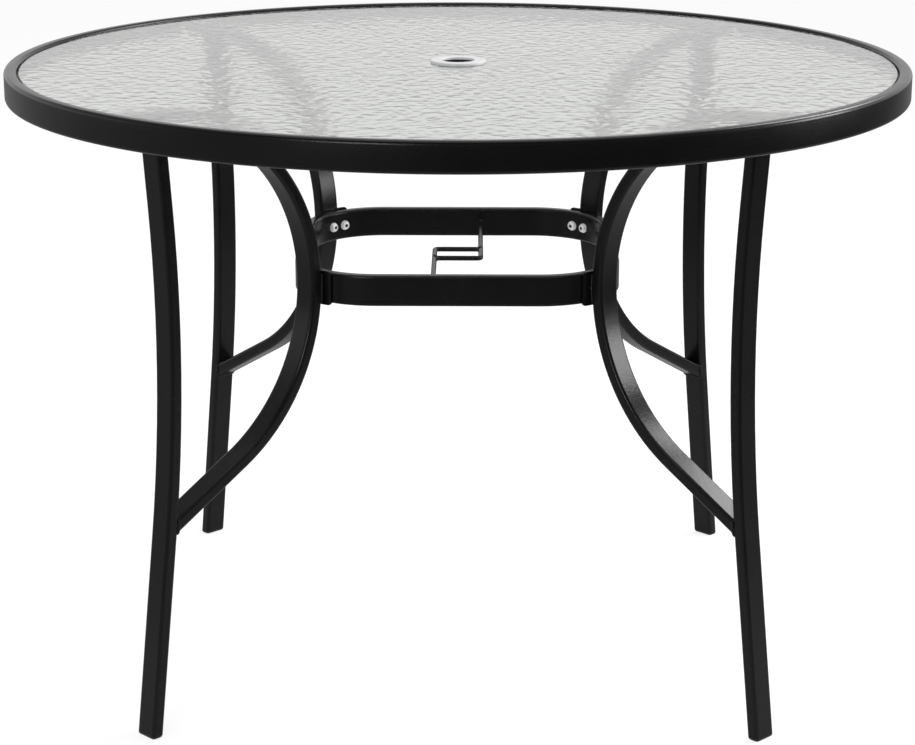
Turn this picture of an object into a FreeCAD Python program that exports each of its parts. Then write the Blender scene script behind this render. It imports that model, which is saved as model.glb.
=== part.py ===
import FreeCAD, Part
import math
import os
import re
import Sketcher
from FreeCAD import Placement, Rotation, Vector

# Round umbrella table: a glass top in a bent tube rim, carried by four pairs of bent
# rectangular tubes. The slim leg stands outside; the brace sweeps in from the rim to a
# square ring and out again to the leg. The ring and two bent rods guide the umbrella's pole.
# Millimetres, +Z up, origin on the floor under the middle of the umbrella hole, front is -Y.

# Driving sizes: name, number, what it measures
driving_sizes = [
    ("tableHeight", 719, "floor to the top of the rim"),
    ("steelWall", 1.2, "wall of every steel tube"),
    ("rimOuterRadius", 533.5, "outside of the rim"),
    ("rimWidth", 15, "rim tube, measured along the radius"),
    ("rimDepth", 34, "rim tube, measured up and down"),
    ("rimEdge", 4.5, "rounding of the rim tube's edges"),
    ("rimStretches", 8, "equal stretches that the rim tube is turned in"),
    ("drainRadius", 2.5, "drain holes under the rim"),
    ("drainCount", 4, "drain holes under the rim"),
    ("drainTurn", 22.5, "drain holes from the middle of a side, degrees"),
    ("glassThickness", 5, "tempered glass"),
    ("glassRecess", 3, "top of the glass below the top of the rim"),
    ("glassGap", 1.5, "edge of the glass to the rim"),
    ("glassHoleRadius", 24.5, "hole for the umbrella ring"),
    ("glassEdge", 0.8, "ground edge of the glass"),
    ("padThickness", 1.5, "clear pads under the glass"),
    ("padRadius", 6, "clear pads under the glass"),
    ("padInset", 14.5, "middle of a pad inwards from the rim"),
    ("padCount", 8, "clear pads, one on each tab and each socket"),
    ("tabCount", 4, "steel tabs, one in the middle of each side"),
    ("tabWidth", 24, "steel tab under the glass, along the rim"),
    ("tabDepth", 26, "steel tab, inwards from the rim"),
    ("tabThickness", 3, "steel tab"),
    ("tabCorner", 5, "rounding of the tab's free corners"),
    ("poleHoleRadius", 19, "bore of the bush for the umbrella's pole"),
    ("lipSetback", 0.6, "edge of the white ring back from the bore"),
    ("flangeRadius", 33, "flange of the white ring"),
    ("flangeThickness", 3, "flange of the white ring"),
    ("flangeRound", 1.2, "rounding of the flange"),
    ("collarGap", 0.5, "collar of the white ring to the glass"),
    ("collarWall", 1.8, "collar of the white ring"),
    ("collarDrop", 7, "collar below the underside of the glass"),
    ("bushGap", 0.1, "bush inside the collar"),
    ("bushFoot", 1.5, "flange at the bush's lower end"),
    ("bushFootRadius", 23.6, "flange at the bush's lower end"),
    ("tubeWidth", 30, "leg and brace tube, across the radius"),
    ("tubeDepth", 15, "leg and brace tube, along the radius"),
    ("tubeCorner", 4, "rounding of the leg and brace tube"),
    ("cornerCount", 4, "legs, braces and sockets, and corners of the centre ring"),
    ("footInset", 43.5, "middle of the foot inwards from the outside of the rim"),
    ("legLean", 7.15, "lower part of the leg from upright, degrees"),
    ("legBow", 1850, "radius of the bow in the leg"),
    ("legTopInset", 60, "top of the leg inwards from the rim"),
    ("legTopLean", 4.5, "upper part of the leg from upright, degrees"),
    ("footFlange", 4, "sole of the foot cap"),
    ("footStem", 24, "stem of the foot cap inside the leg"),
    ("footGap", 0.2, "ribs of the foot cap to the leg's wall"),
    ("footRib", 0.8, "height of the ribs over the stem's sides"),
    ("footRibCount", 3, "ribs on the stem"),
    ("soleEdge", 1, "bevel around the sole"),
    ("braceFootShare", 0.345, "height where the brace meets the leg, of its top run's height"),
    ("lowerBendShare", 0.87, "lower bend, of the drop from the innermost point to the leg"),
    ("braceEndGap", 1, "end of the brace to the rim"),
    ("socketLength", 42, "socket, inwards from the rim"),
    ("socketWall", 2.5, "sheet of the socket"),
    ("socketGap", 0.5, "brace inside the socket"),
    ("socketShort", 3, "cheeks of the socket above the brace's underside"),
    ("socketBoltInset", 21.5, "socket bolt inwards from the rim"),
    ("ringHalfSide", 191, "outside of the centre ring's straight sides"),
    ("ringCorner", 97.5, "outer radius of the centre ring's corners"),
    ("ringDepth", 13, "centre ring tube, measured level"),
    ("ringHeight", 36, "centre ring tube, measured up and down"),
    ("ringEdge", 3, "rounding of the centre ring's edges"),
    ("ringDrop", 6.5, "middle of the centre ring below the braces' innermost points"),
    ("bracketThickness", 3, "saddle bracket behind the ring's corner"),
    ("bracketHeight", 40, "saddle bracket"),
    ("bracketHalfLength", 25, "saddle bracket, along its arc from the middle"),
    ("bracketRound", 4, "rounding of the saddle bracket's corners"),
    ("boltRadius", 3, "every bolt's shank"),
    ("boltHeadRadius", 5.25, "button head"),
    ("boltHeadHeight", 3.3, "button head"),
    ("boltHeadFace", 3.2, "flat face of the button head, radius"),
    ("boltFree", 0.3, "hole around a bolt that passes freely"),
    ("boltSnug", 0.05, "hole around a bolt that is threaded in"),
    ("boltSpacing", 19.5, "two bolts at one corner of the ring"),
    ("boltShort", 0.5, "tip of a ring bolt back from the bracket's far side"),
    ("keyWidth", 4, "hexagon in a bolt's head, across flats"),
    ("keyDepth", 2, "hexagon in a bolt's head"),
    ("washerRadius", 6, "washer under a ring bolt"),
    ("washerThickness", 1.6, "washer under a ring bolt"),
    ("nutWidth", 10, "nut of a socket bolt, across flats"),
    ("nutThickness", 5, "nut of a socket bolt"),
    ("boltTip", 1.5, "socket bolt's end past its nut"),
    ("rodRadius", 3, "pole guide rod"),
    ("guideHalfWidth", 28, "long run of a guide rod, sideways from the middle"),
    ("guideHalfDepth", 24, "short run of a guide rod, from the middle"),
    ("rodBend", 5, "middle of the rod in its bend"),
]

# Sizes that follow from the driving ones
derived_sizes = [
    ("rimInnerRadius", "rimOuterRadius - rimWidth", "inside of the rim"),
    ("rimBottom", "tableHeight - rimDepth", "underside of the rim"),
    ("glassTop", "tableHeight - glassRecess", "top of the glass"),
    ("glassBottom", "glassTop - glassThickness", "underside of the glass"),
    ("glassRadius", "rimInnerRadius - glassGap", "edge of the glass"),
    ("carrierTop", "glassBottom - padThickness", "top of the tabs and sockets"),
    ("padCircle", "rimInnerRadius - padInset", "middle of a pad from the table's middle"),
    ("collarOuter", "glassHoleRadius - collarGap", "white ring's collar, outside"),
    ("collarInner", "collarOuter - collarWall", "white ring's collar, inside"),
    ("collarBottom", "glassBottom - collarDrop", "white ring's collar, lower end"),
    ("bushOuter", "collarInner - bushGap", "bush, outside"),
    ("braceLevel", "carrierTop - socketWall - socketGap - tubeDepth / 2", "brace's top run"),
    ("legTop", "braceLevel - tubeDepth / 2", "leg's upper end, under the brace"),
    ("legTopRadius", "rimInnerRadius - legTopInset", "leg's upper end from the table's middle"),
    ("footRadius", "rimOuterRadius - footInset", "middle of the foot from the table's middle"),
    ("braceFootHeight", "braceLevel * braceFootShare", "middle of the brace where it meets the leg"),
    ("braceFootRadius", "footRadius - braceFootHeight * tan(legLean)", "brace's end in the leg"),
    ("ringCentre", "ringHalfSide - ringCorner", "middle of a ring corner, sideways"),
    ("cornerReach", "ringCentre * sqrt(2)", "middle of a ring corner, along the diagonal"),
    ("ringInnerCorner", "ringCorner - ringDepth", "inner radius of a ring corner"),
    ("bracketOuter", "ringCorner + bracketThickness", "outer radius of a saddle bracket"),
    ("braceApex", "cornerReach + bracketOuter + tubeDepth / 2", "brace's innermost point"),
    ("braceUpperBend", "legTopRadius - tubeDepth / 2 - braceApex", "upper bend, from the leg inwards"),
    ("apexLevel", "braceLevel - braceUpperBend", "height of the brace's innermost point"),
    ("braceLowerBend", "(apexLevel - braceFootHeight) * lowerBendShare", "lower bend"),
    ("ringLevel", "apexLevel - ringDrop", "middle of the centre ring and the guide rods"),
    ("washerSeat", "sqrt(ringInnerCorner ^ 2 - washerRadius ^ 2)", "flat washer in the curve"),
    ("headSeat", "washerSeat - washerThickness", "ring bolt's head on its washer"),
    ("socketHalf", "tubeWidth / 2 + socketGap + socketWall", "socket, outside"),
    ("socketBoltRadius", "rimInnerRadius - socketBoltInset", "socket bolt from the table's middle"),
    ("freeRadius", "boltRadius + boltFree", "hole that a bolt passes"),
    ("snugRadius", "boltRadius + boltSnug", "hole that a bolt is threaded in"),
]

document = FreeCAD.newDocument("umbrella_table")
sheet = document.addObject("Spreadsheet::Sheet", "sizes")
for row, (alias, content, note) in enumerate(driving_sizes + derived_sizes, start=1):
    formula = content if not isinstance(content, str) else "=" + content
    sheet.set(f"A{row}", alias)
    sheet.set(f"B{row}", str(formula))
    sheet.setAlias(f"B{row}", alias)
    sheet.set(f"C{row}", "'" + note)
sheet.recompute()

# A second sheet works out formulas for first positions, so that the sizes stay untouched
workings = document.addObject("Spreadsheet::Sheet", "workings")
size_word = re.compile(r"\b(" + "|".join(entry[0] for entry in driving_sizes + derived_sizes) + r")\b")
tiny = 1e-6


def linked(formula):
    """The formula with each size written as a reference to the sheet."""
    return size_word.sub(r"sizes.\1", formula)


def amount(formula):
    """The formula's present value."""
    workings.set("A1", "=" + linked(formula))
    workings.recompute()
    result = workings.get("A1")
    return float(getattr(result, "Value", result))


# Corners of the table: name and turn from the +X side, for the body frames whose +X runs
# out along a diagonal
first_turn = 45
corners = [("rear_right", first_turn), ("rear_left", first_turn + 90),
           ("front_left", first_turn + 180), ("front_right", first_turn + 270)]


# Sketch helpers


def new_body(label, turn=0, loose=False):
    """A body named for its piece. A loose one may hold several separate solids."""
    body = document.addObject("PartDesign::Body", label)
    body.Label = label
    body.AllowCompound = loose
    body.Placement = Placement(Vector(0, 0, 0), Rotation(Vector(0, 0, 1), turn))
    return body


def origin_feature(body, role):
    return next(feature for feature in body.Origin.OriginFeatures if feature.Role == role)


def new_sketch(body, role, offset=None, axis=None, turn=None):
    """A sketch on one of the body's origin planes, moved and turned by formulas."""
    sketch = body.newObject("Sketcher::SketchObject", body.Name + "_sketch")
    sketch.AttachmentSupport = [(origin_feature(body, role), "")]
    sketch.MapMode = "FlatFace"
    if axis is not None:
        sketch.AttachmentOffset = Placement(Vector(0, 0, 0), Rotation(axis, amount(turn)))
        sketch.setExpression("AttachmentOffset.Rotation.Angle", linked(turn))
    for letter, formula in (offset or {}).items():
        sketch.setExpression("AttachmentOffset.Base." + letter, linked(formula))
    return sketch


def measure(sketch, kind, where, formula):
    """A dimension whose value is bound to the sheet."""
    number = amount(formula)
    start = math.radians(number) if kind == "Angle" else number
    index = sketch.addConstraint(Sketcher.Constraint(kind, *where, start))
    name = "size" + str(index)
    sketch.renameConstraint(index, name)
    sketch.setExpression("Constraints." + name, linked(formula))


def hold_point(sketch, geometry, end, across, up):
    """Hold one point of the sketch at a place, each way by a formula."""
    for kind, formula, axis_line in (("DistanceX", across, -2), ("DistanceY", up, -1)):
        if abs(amount(formula)) < tiny:
            sketch.addConstraint(Sketcher.Constraint("PointOnObject", geometry, end, axis_line))
        else:
            measure(sketch, kind, (-1, 1, geometry, end), formula)


def draw_circle(sketch, radius, across="0", up="0"):
    circle = Part.Circle(Vector(amount(across), amount(up), 0), Vector(0, 0, 1), amount(radius))
    geometry = sketch.addGeometry(circle, False)
    measure(sketch, "Radius", (geometry,), radius)
    hold_point(sketch, geometry, 3, across, up)


def draw_outline(sketch, points):
    """A closed outline of straight lines through points given by formulas."""
    places = [Vector(amount(across), amount(up), 0) for across, up in points]
    lines = []
    for here, there in zip(places, places[1:] + places[:1]):
        lines.append(sketch.addGeometry(Part.LineSegment(here, there), False))
    for line, following in zip(lines, lines[1:] + lines[:1]):
        sketch.addConstraint(Sketcher.Constraint("Coincident", line, 2, following, 1))
    for line, (across, up) in zip(lines, points):
        hold_point(sketch, line, 1, across, up)


def draw_hexagon(sketch, width):
    """A hexagon across flats, around the sketch's origin."""
    reach = "(" + width + ") / sqrt(3)"
    draw_outline(sketch, [(f"{reach} * cos({60 * n})", f"{reach} * sin({60 * n})") for n in range(6)])


def draw_rounded(sketch, half_across, half_up, corner, across="0", up="0"):
    """A rectangle with round corners around a point."""
    x, y = amount(across), amount(up)
    w, h, r = amount(half_across), amount(half_up), amount(corner)
    turns = [(1, -1, -90), (1, 1, 0), (-1, 1, 90), (-1, -1, 180)]
    arcs = []
    for side, rise, start in turns:
        middle = Vector(x + side * (w - r), y + rise * (h - r), 0)
        ring = Part.Circle(middle, Vector(0, 0, 1), r)
        arc = Part.ArcOfCircle(ring, math.radians(start), math.radians(start + 90))
        arcs.append(sketch.addGeometry(arc, False))
    lines = []
    for arc, following in zip(arcs, arcs[1:] + arcs[:1]):
        here = sketch.getPoint(arc, 2)
        there = sketch.getPoint(following, 1)
        line = sketch.addGeometry(Part.LineSegment(here, there), False)
        sketch.addConstraint(Sketcher.Constraint("Tangent", arc, 2, line, 1))
        sketch.addConstraint(Sketcher.Constraint("Tangent", line, 2, following, 1))
        lines.append(line)
    right, top, left, bottom = lines
    for line in (right, left):
        sketch.addConstraint(Sketcher.Constraint("Vertical", line))
    for line in (top, bottom):
        sketch.addConstraint(Sketcher.Constraint("Horizontal", line))
    for arc in arcs[1:]:
        sketch.addConstraint(Sketcher.Constraint("Equal", arcs[0], arc))
    measure(sketch, "Radius", (arcs[0],), corner)
    measure(sketch, "DistanceX", (-1, 1, right, 1), f"({across}) + ({half_across})")
    measure(sketch, "DistanceX", (-1, 1, left, 1), f"({across}) - ({half_across})")
    measure(sketch, "DistanceY", (-1, 1, top, 1), f"({up}) + ({half_up})")
    measure(sketch, "DistanceY", (-1, 1, bottom, 1), f"({up}) - ({half_up})")


def draw_sector(sketch, inner, outer, half_angle, middle):
    """A stretch of a ring around a point on the sketch's X axis, even about that axis."""
    angle = amount(half_angle)
    centre = Vector(amount(middle), 0, 0)
    arcs = []
    for radius in (inner, outer):
        ring = Part.Circle(centre, Vector(0, 0, 1), amount(radius))
        arc = Part.ArcOfCircle(ring, math.radians(-angle), math.radians(angle))
        arcs.append(sketch.addGeometry(arc, False))
        measure(sketch, "Radius", (arcs[-1],), radius)
    near, far = arcs
    sketch.addConstraint(Sketcher.Constraint("Coincident", near, 3, far, 3))
    hold_point(sketch, near, 3, middle, "0")
    for end, sign in ((1, "-"), (2, "")):
        segment = Part.LineSegment(sketch.getPoint(near, end), sketch.getPoint(far, end))
        line = sketch.addGeometry(segment, False)
        sketch.addConstraint(Sketcher.Constraint("Coincident", line, 1, near, end))
        sketch.addConstraint(Sketcher.Constraint("Coincident", line, 2, far, end))
        sketch.addConstraint(Sketcher.Constraint("PointOnObject", near, 3, line))
        measure(sketch, "Angle", (line,), sign + "(" + half_angle + ")")


def draw_bend(sketch, start, end, first, second, radius):
    """An open path: a straight run, one bend and another straight run."""
    begin = Vector(amount(start[0]), amount(start[1]), 0)
    finish = Vector(amount(end[0]), amount(end[1]), 0)
    headings = [math.radians(amount(formula)) for formula in (first, second)]
    away, onward = (Vector(math.cos(h), math.sin(h), 0) for h in headings)
    turn = headings[1] - headings[0]
    gap = finish - begin
    to_corner = (gap.x * onward.y - gap.y * onward.x) / (away.x * onward.y - away.y * onward.x)
    knee = begin + away * to_corner
    reach = abs(amount(radius) * math.tan(turn / 2))
    leave, join = knee - away * reach, knee + onward * reach
    left_turn = turn > 0
    side = Vector(-away.y, away.x, 0) * (1 if left_turn else -1)
    centre = leave + side * amount(radius)
    ends = (leave, join) if left_turn else (join, leave)
    angles = [math.atan2(point.y - centre.y, point.x - centre.x) for point in ends]
    ring = Part.Circle(centre, Vector(0, 0, 1), amount(radius))
    first_run = sketch.addGeometry(Part.LineSegment(begin, leave), False)
    arc = sketch.addGeometry(Part.ArcOfCircle(ring, angles[0], angles[1]), False)
    second_run = sketch.addGeometry(Part.LineSegment(join, finish), False)
    near_end, far_end = (1, 2) if left_turn else (2, 1)
    sketch.addConstraint(Sketcher.Constraint("Tangent", first_run, 2, arc, near_end))
    sketch.addConstraint(Sketcher.Constraint("Tangent", arc, far_end, second_run, 1))
    hold_point(sketch, first_run, 1, *start)
    hold_point(sketch, second_run, 2, *end)
    measure(sketch, "Radius", (arc,), radius)
    for run, formula in ((first_run, first), (second_run, second)):
        if formula == "0":
            sketch.addConstraint(Sketcher.Constraint("Horizontal", run))
        elif formula == "90":
            sketch.addConstraint(Sketcher.Constraint("Vertical", run))
        else:
            measure(sketch, "Angle", (run,), formula)


# Feature helpers


def add_feature(body, kind, sketch, **bound):
    """A sketch-based feature with its numbers bound to the sheet."""
    feature = body.newObject("PartDesign::" + kind, body.Name + "_" + kind)
    feature.Profile = sketch
    for name, formula in bound.items():
        feature.setExpression(name, linked(formula))
    return feature


def pad_up(body, sketch, length):
    return add_feature(body, "Pad", sketch, Length=length)


def cut_both_ways(body, sketch, length):
    feature = add_feature(body, "Pocket", sketch, Length=length)
    feature.SideType = "Symmetric"
    return feature


def cut_forward(body, sketch, length):
    """A pocket that runs the way its sketch faces."""
    feature = add_feature(body, "Pocket", sketch, Length=length)
    feature.Reversed = True
    return feature


def turn_round(body, sketch, axis, turn="360"):
    """A revolution round one of its sketch's axes, in full or by a turn in degrees."""
    feature = add_feature(body, "Revolution", sketch, Angle=turn)
    feature.ReferenceAxis = (sketch, [axis])
    return feature


def sweep(body, kind, profile, path):
    """The profile along the whole of a path that lies in one upright plane."""
    feature = add_feature(body, kind, profile)
    feature.Spine = (path, ["Edge" + str(n + 1) for n in range(path.GeometryCount)])
    return feature


def repeat_round(body, originals, count):
    """Copies of the features around the table's upright axis."""
    pattern = body.newObject("PartDesign::PolarPattern", body.Name + "_pattern")
    pattern.Originals = originals
    pattern.Axis = (origin_feature(body, "Z_Axis"), [""])
    pattern.Angle = 360
    pattern.setExpression("Occurrences", linked(count))
    body.Tip = pattern
    return pattern


def round_edges(body, kind, picks, **bound):
    """A fillet or a chamfer on the tip's edges that a test picks."""
    document.recompute()
    base = body.Tip
    names = ["Edge" + str(n + 1) for n, edge in enumerate(base.Shape.Edges) if picks(edge)]
    feature = body.newObject("PartDesign::" + kind, body.Name + "_" + kind)
    feature.Base = (base, names)
    for name, formula in bound.items():
        feature.setExpression(name, linked(formula))
    body.Tip = feature
    return feature


def is_circle(edge, radius, level):
    """Whether an edge is a level circle of this radius at this height."""
    curve = edge.Curve
    return (isinstance(curve, Part.Circle) and abs(curve.Radius - amount(radius)) < 0.001
            and abs(curve.Center.z - amount(level)) < 0.001)


# Rim


def make_rim():
    body = new_body("table_rim")
    section = new_sketch(body, "XZ_Plane")
    middle = ("rimOuterRadius - rimWidth / 2", "tableHeight - rimDepth / 2")
    draw_rounded(section, "rimWidth / 2", "rimDepth / 2", "rimEdge", *middle)
    draw_rounded(section, "rimWidth / 2 - steelWall", "rimDepth / 2 - steelWall",
                 "rimEdge - steelWall", *middle)
    stretch = turn_round(body, section, "V_Axis", turn="360 / rimStretches")
    tube = repeat_round(body, [stretch], "rimStretches")
    # Drain holes through the tube's lower wall, clear of the braces and the tabs
    drains = new_sketch(body, "XY_Plane", offset={"z": "rimBottom"},
                        axis=Vector(0, 0, 1), turn="drainTurn")
    draw_circle(drains, "drainRadius", across=middle[0])
    drain = cut_both_ways(body, drains, "4 * steelWall")
    drained = repeat_round(body, [drain], "drainCount")
    for feature in (tube, drain, drained):
        feature.Refine = False


def make_tabs():
    """Flat steel tabs inside the rim, coped to its inner wall."""
    body = new_body("glass_tabs", loose=True)
    plan = new_sketch(body, "XY_Plane", offset={"z": "carrierTop - tabThickness"})
    reach, half = "rimInnerRadius", "tabWidth / 2"
    corner = "tabCorner"
    inner = f"{reach} - tabDepth"
    draw_outline(plan, [(reach, half), (f"{inner} + {corner}", half), (inner, f"{half} - {corner}"),
                        (inner, f"{corner} - {half}"), (f"{inner} + {corner}", f"-{half}"),
                        (reach, f"-{half}")])
    tab = pad_up(body, plan, "tabThickness")
    cope = new_sketch(body, "XY_Plane", offset={"z": "carrierTop"})
    draw_circle(cope, "rimInnerRadius")
    draw_circle(cope, "rimOuterRadius")
    coped = add_feature(body, "Pocket", cope, Length="tabThickness")
    repeat_round(body, [tab, coped], "tabCount")


# Glass and what it rests on


def make_pads():
    """Clear pads, one on each socket and each tab."""
    body = new_body("glass_pads", turn=first_turn, loose=True)
    plan = new_sketch(body, "XY_Plane", offset={"z": "carrierTop"})
    draw_circle(plan, "padRadius", across="padCircle")
    repeat_round(body, [pad_up(body, plan, "padThickness")], "padCount")


def make_glass():
    body = new_body("glass_top")
    plan = new_sketch(body, "XY_Plane", offset={"z": "glassBottom"})
    draw_circle(plan, "glassRadius")
    draw_circle(plan, "glassHoleRadius")
    body.Tip = pad_up(body, plan, "glassThickness")
    round_edges(body, "Chamfer", lambda edge: isinstance(edge.Curve, Part.Circle), Size="glassEdge")


def make_umbrella_ring():
    """White ring: a flange on the glass and a collar down through its hole."""
    body = new_body("umbrella_ring")
    section = new_sketch(body, "XZ_Plane")
    bore, lid = "poleHoleRadius + lipSetback", "glassTop + flangeThickness"
    draw_outline(section, [(bore, "glassTop"), ("collarInner", "glassTop"),
                           ("collarInner", "collarBottom"), ("collarOuter", "collarBottom"),
                           ("collarOuter", "glassTop"), ("flangeRadius", "glassTop"),
                           ("flangeRadius", lid), (bore, lid)])
    body.Tip = turn_round(body, section, "V_Axis")
    round_edges(body, "Fillet", lambda edge: is_circle(edge, "flangeRadius", lid)
                or is_circle(edge, bore, lid), Radius="flangeRound")


def make_bush():
    """Black bush in the collar, with a foot that covers the collar's lower end."""
    body = new_body("pole_bush")
    section = new_sketch(body, "XZ_Plane")
    foot = "collarBottom - bushFoot"
    draw_outline(section, [("poleHoleRadius", "glassTop"), ("bushOuter", "glassTop"),
                           ("bushOuter", "collarBottom"), ("bushFootRadius", "collarBottom"),
                           ("bushFootRadius", foot), ("poleHoleRadius", foot)])
    body.Tip = turn_round(body, section, "V_Axis")


# Sockets under the rim, with a bolt through each. In each corner's own frame +X runs out
# along the table's diagonal.


def make_socket(corner, turn):
    """A channel, open below, over the brace's end and welded to the rim's inner wall."""
    body = new_body("rim_socket_" + corner, turn)
    section = new_sketch(body, "YZ_Plane", offset={"z": "rimInnerRadius - socketLength"})
    inside = "(socketHalf - socketWall)"
    foot, roof = "legTop + socketShort", "carrierTop - socketWall"
    draw_outline(section, [("socketHalf", foot), ("socketHalf", "carrierTop"),
                           ("-socketHalf", "carrierTop"), ("-socketHalf", foot),
                           (f"-{inside}", foot), (f"-{inside}", roof),
                           (inside, roof), (inside, foot)])
    body.Tip = pad_up(body, section, "socketLength")
    round_edges(body, "Fillet", lambda edge: len(edge.Vertexes) == 2
                and min(point.Z for point in edge.Vertexes) > amount("carrierTop") - tiny
                and edge.Length > amount("socketLength") - tiny, Radius="socketWall")
    cope = new_sketch(body, "XY_Plane", offset={"z": "carrierTop"})
    draw_circle(cope, "rimInnerRadius")
    draw_circle(cope, "rimOuterRadius")
    add_feature(body, "Pocket", cope, Length="carrierTop - legTop")
    cross_hole(body)


def cross_hole(body):
    """The socket bolt's hole, level through the piece and across the diagonal."""
    hole = new_sketch(body, "XZ_Plane")
    draw_circle(hole, "freeRadius", across="socketBoltRadius", up="braceLevel")
    body.Tip = cut_both_ways(body, hole, "4 * socketHalf")


def button_profile(sketch, seat, tip):
    """Half of a button-head bolt along the sketch's X axis, from its seat to its tip."""
    draw_outline(sketch, [(f"{seat} - boltHeadHeight", "0"),
                          (f"{seat} - boltHeadHeight", "boltHeadFace"),
                          (f"{seat} - boltHeadHeight / 3", "boltHeadRadius"),
                          (seat, "boltHeadRadius"), (seat, "boltRadius"),
                          (tip, "boltRadius"), (tip, "0")])


def make_socket_bolts():
    """One bolt through each socket, level and square to the diagonal."""
    body = new_body("socket_bolts", turn=first_turn, loose=True)
    seat = "(-socketHalf)"
    shape = new_sketch(body, "XY_Plane", offset={"x": "socketBoltRadius", "z": "braceLevel"},
                       axis=Vector(0, 0, 1), turn="90")
    button_profile(shape, seat, "socketHalf + nutThickness + boltTip")
    bolt = turn_round(body, shape, "H_Axis")
    key = new_sketch(body, "XZ_Plane", offset={"x": "socketBoltRadius", "y": "braceLevel",
                                               "z": "socketHalf + boltHeadHeight"})
    draw_hexagon(key, "keyWidth")
    repeat_round(body, [bolt, add_feature(body, "Pocket", key, Length="keyDepth")],
                 "cornerCount")


def make_socket_nuts():
    body = new_body("socket_nuts", turn=first_turn, loose=True)
    face = new_sketch(body, "XZ_Plane", offset={"x": "socketBoltRadius", "y": "braceLevel",
                                                "z": "-socketHalf - nutThickness"})
    draw_hexagon(face, "nutWidth")
    draw_circle(face, "snugRadius")
    repeat_round(body, [pad_up(body, face, "nutThickness")], "cornerCount")


# Legs, foot caps and braces, each in its own corner's frame


def leg_path(body, top):
    """Middle line of the leg, from the floor up to a height on its straight upper run."""
    path = new_sketch(body, "XZ_Plane")
    draw_bend(path, ("footRadius", "0"), (f"legTopRadius + ({top} - legTop) * tan(legTopLean)", top),
              "90 + legLean", "90 - legTopLean", "legBow")
    return path


def leg_section(body, wall):
    """The leg's tube across its lower run, drawn in from the outside by a wall."""
    section = new_sketch(body, "XY_Plane", offset={"x": "footRadius"},
                         axis=Vector(0, -1, 0), turn="legLean")
    draw_rounded(section, f"tubeDepth / 2 - {wall}", f"tubeWidth / 2 - {wall}",
                 f"tubeCorner - {wall}")
    return section


def make_leg(corner, turn):
    """Slim outer leg, cut level above its cap and under the brace."""
    body = new_body("leg_" + corner, turn)
    path = leg_path(body, "legTop + tubeDepth / 2")
    sweep(body, "AdditivePipe", leg_section(body, "0"), path)
    sweep(body, "SubtractivePipe", leg_section(body, "steelWall"), path)
    trim = new_sketch(body, "XZ_Plane")
    middle = "(footRadius + legTopRadius) / 2"
    draw_outline(trim, [(f"{middle} - 2 * tubeWidth", "-tubeWidth"),
                        (f"{middle} + 2 * tubeWidth", "-tubeWidth"),
                        (f"{middle} + 2 * tubeWidth", "footFlange"),
                        (f"{middle} - 2 * tubeWidth", "footFlange")])
    draw_outline(trim, [(f"{middle} - 2 * tubeWidth", "legTop"),
                        (f"{middle} + 2 * tubeWidth", "legTop"),
                        (f"{middle} + 2 * tubeWidth", "legTop + tubeWidth"),
                        (f"{middle} - 2 * tubeWidth", "legTop + tubeWidth")])
    body.Tip = cut_both_ways(body, trim, "2 * tubeWidth")


def make_foot_cap(corner, turn):
    """Plastic glide: a level sole and a ribbed stem that follows the leaning tube."""
    body = new_body("foot_cap_" + corner, turn)

    def leaning_pad(level, inset, length):
        plan = new_sketch(body, "XY_Plane",
                          offset={"x": f"footRadius - ({level}) * tan(legLean)", "z": level})
        draw_rounded(plan, f"(tubeDepth / 2 - ({inset})) / cos(legLean)", f"tubeWidth / 2 - ({inset})",
                     "tubeCorner - steelWall")
        feature = pad_up(body, plan, length)
        feature.UseCustomVector = True
        feature.AlongSketchNormal = True
        feature.setExpression("Direction.x", linked("-tan(legLean)"))
        feature.setExpression("Direction.y", "0")
        feature.setExpression("Direction.z", "1")
        body.Tip = feature

    leaning_pad("0", "0", "footFlange")
    round_edges(body, "Chamfer", lambda edge: edge.BoundBox.ZMax < tiny, Size="soleEdge")
    leaning_pad("footFlange", "steelWall + footGap + footRib", "footStem")
    for n in range(round(amount("footRibCount"))):
        step = f"footStem * {n + 1} / (footRibCount + 1)"
        leaning_pad(f"footFlange + {step} - footRib", "steelWall + footGap", "2 * footRib")


def sketch_line(sketch, start, end):
    return sketch.addGeometry(Part.LineSegment(start, end), False)


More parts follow.
